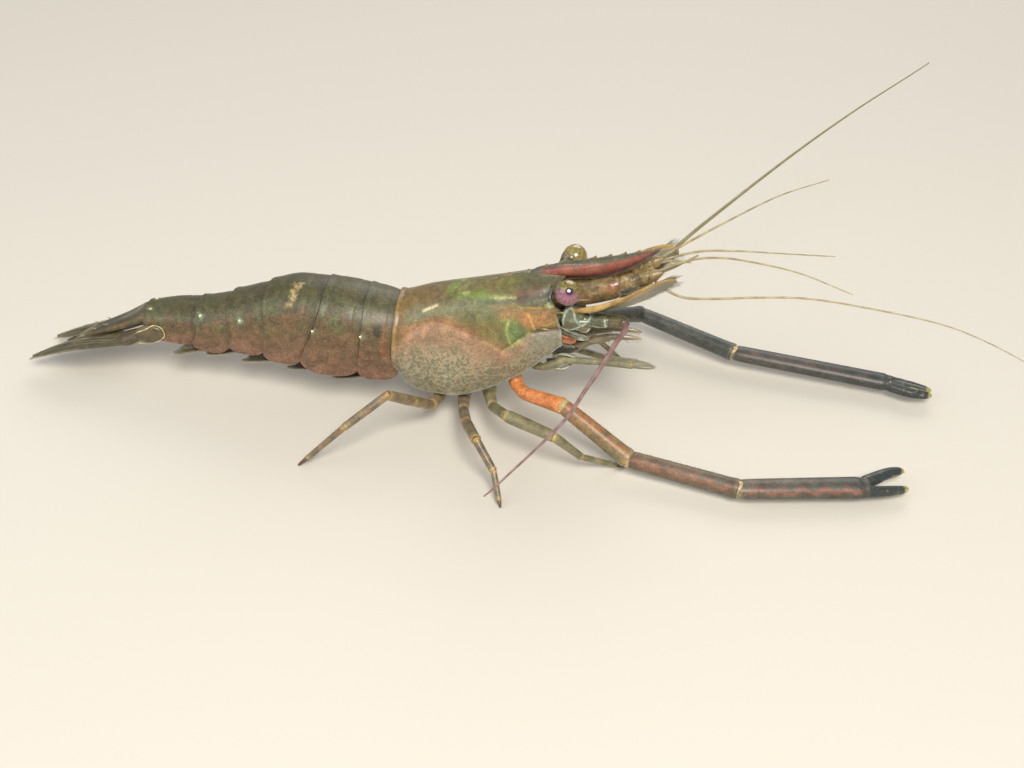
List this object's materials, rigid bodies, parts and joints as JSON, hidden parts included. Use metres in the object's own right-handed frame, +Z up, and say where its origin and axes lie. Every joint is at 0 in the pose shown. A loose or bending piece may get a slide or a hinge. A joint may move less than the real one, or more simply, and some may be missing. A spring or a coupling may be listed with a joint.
{
  "type": "river prawn model",
  "caption": "Life-size still model of a long-armed river prawn feeding on the bottom, with rostrum, feelers, claws, walking legs and tail fan.",
  "frame": {"origin": "on the ground, below the middle of the model's bounding box", "axes": "+X towards the animal's head, +Y to its left, +Z up"},
  "size_m": [0.1439, 0.1203, 0.0374],
  "materials": {
    "carapace_shell": "smooth chitin, slightly glossy",
    "tail_shell": "smooth chitin, slightly glossy",
    "tail_fan": "smooth chitin, slightly glossy",
    "swimmeret": "smooth chitin, slightly glossy",
    "eye": "smooth wet eye",
    "eyestalk": "smooth chitin, slightly glossy",
    "feeler": "smooth chitin, slightly glossy",
    "antennule_base": "smooth chitin, slightly glossy",
    "antenna_base": "smooth chitin, slightly glossy",
    "antennal_scale": "smooth chitin, slightly glossy",
    "mouthpart": "smooth chitin, slightly glossy",
    "claw_root": "smooth chitin, slightly glossy",
    "claw_arm": "smooth chitin, slightly glossy",
    "claw_dark": "smooth chitin, slightly glossy",
    "claw_finger": "smooth chitin, slightly glossy",
    "leg": "smooth chitin, slightly glossy"
  },
  "bodies": {
    "root": {"abdomen_1": "tail_shell", "abdomen_2": "tail_shell", "abdomen_3": "tail_shell", "abdomen_4": "tail_shell", "abdomen_5": "tail_shell", "abdomen_6": "tail_shell", "antenna_l": "antenna_base", "antenna_r": "antenna_base", "antenna_whip_l": "feeler", "antenna_whip_r": "feeler", "antennule_l": "antennule_base", "antennule_r": "antennule_base", "antennule_whips_l": "feeler", "antennule_whips_r": "feeler", "carapace": "carapace_shell", "claw_l_carpus": "claw_dark", "claw_l_dactylus": "claw_finger", "claw_l_ischium": "claw_root", "claw_l_merus": "claw_arm", "claw_l_propodus": "claw_dark", "claw_r_carpus": "claw_dark", "claw_r_dactylus": "claw_finger", "claw_r_ischium": "claw_root", "claw_r_merus": "claw_arm", "claw_r_propodus": "claw_dark", "eye_l": "eye", "eye_r": "eye", "eyestalk_l": "eyestalk", "eyestalk_r": "eyestalk", "fifth_leg_l_lower": "leg", "fifth_leg_l_upper": "leg", "fifth_leg_r_lower": "leg", "fifth_leg_r_upper": "leg", "first_leg_l": "leg", "first_leg_r": "leg", "fourth_leg_l_lower": "leg", "fourth_leg_l_upper": "leg", "fourth_leg_r_lower": "leg", "fourth_leg_r_upper": "leg", "maxilliped_l": "mouthpart", "maxilliped_r": "mouthpart", "pleopod_1_l": "swimmeret", "pleopod_1_r": "swimmeret", "pleopod_2_l": "swimmeret", "pleopod_2_r": "swimmeret", "pleopod_3_l": "swimmeret", "pleopod_3_r": "swimmeret", "pleopod_4_l": "swimmeret", "pleopod_4_r": "swimmeret", "pleopod_5_l": "swimmeret", "pleopod_5_r": "swimmeret", "scale_l": "antennal_scale", "scale_r": "antennal_scale", "telson": "tail_fan", "third_leg_l_lower": "leg", "third_leg_l_upper": "leg", "third_leg_r_lower": "leg", "third_leg_r_upper": "leg", "uropod_l": "tail_fan", "uropod_r": "tail_fan"}
  },
  "joints": []
}
